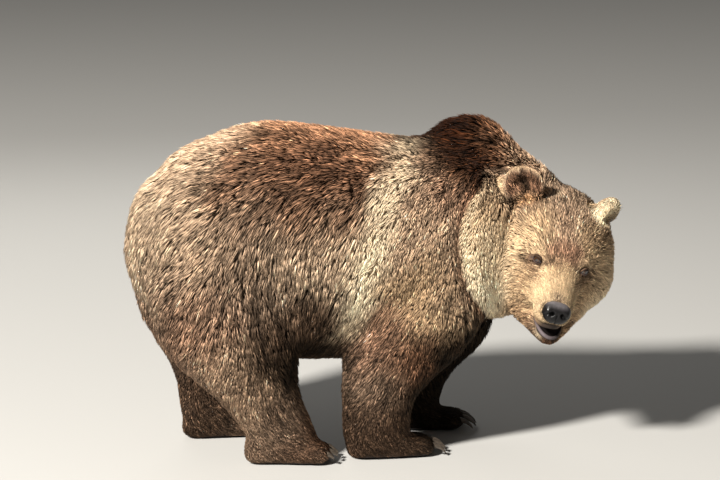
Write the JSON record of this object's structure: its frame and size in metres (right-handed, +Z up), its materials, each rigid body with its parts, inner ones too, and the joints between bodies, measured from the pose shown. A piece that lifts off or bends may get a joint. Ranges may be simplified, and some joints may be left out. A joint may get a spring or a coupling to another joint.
{
  "type": "brown bear",
  "caption": "Still, life-size brown bear standing on all fours, head lowered and turned to its right, mouth slightly open.",
  "frame": {"origin": "on the floor, under the middle of the bear's bounding box", "axes": "+X towards the bear's front, +Y towards its left, +Z up"},
  "size_m": [1.451, 0.7406, 0.9868],
  "materials": {
    "coat": "thick brown fur",
    "dark_coat": "dark brown fur",
    "nose_skin": "moist black skin",
    "eye": "dark glossy eyeball",
    "claw": "smooth dark horn"
  },
  "bodies": {
    "root": {"ear_left": "coat", "ear_right": "coat", "eye_left": "eye", "eye_right": "eye", "foreleg_left": "coat", "foreleg_right": "coat", "forepaw_left": "coat", "forepaw_left_claw_1": "claw", "forepaw_left_claw_2": "claw", "forepaw_left_claw_3": "claw", "forepaw_left_claw_4": "claw", "forepaw_left_claw_5": "claw", "forepaw_right": "coat", "forepaw_right_claw_1": "claw", "forepaw_right_claw_2": "claw", "forepaw_right_claw_3": "claw", "forepaw_right_claw_4": "claw", "forepaw_right_claw_5": "claw", "head": "coat", "hindfoot_left": "coat", "hindfoot_left_claw_1": "claw", "hindfoot_left_claw_2": "claw", "hindfoot_left_claw_3": "claw", "hindfoot_left_claw_4": "claw", "hindfoot_left_claw_5": "claw", "hindfoot_right": "coat", "hindfoot_right_claw_1": "claw", "hindfoot_right_claw_2": "claw", "hindfoot_right_claw_3": "claw", "hindfoot_right_claw_4": "claw", "hindfoot_right_claw_5": "claw", "hindleg_left": "coat", "hindleg_right": "coat", "neck": "coat", "nose": "nose_skin", "tail": "dark_coat", "trunk": "coat"}
  },
  "joints": []
}
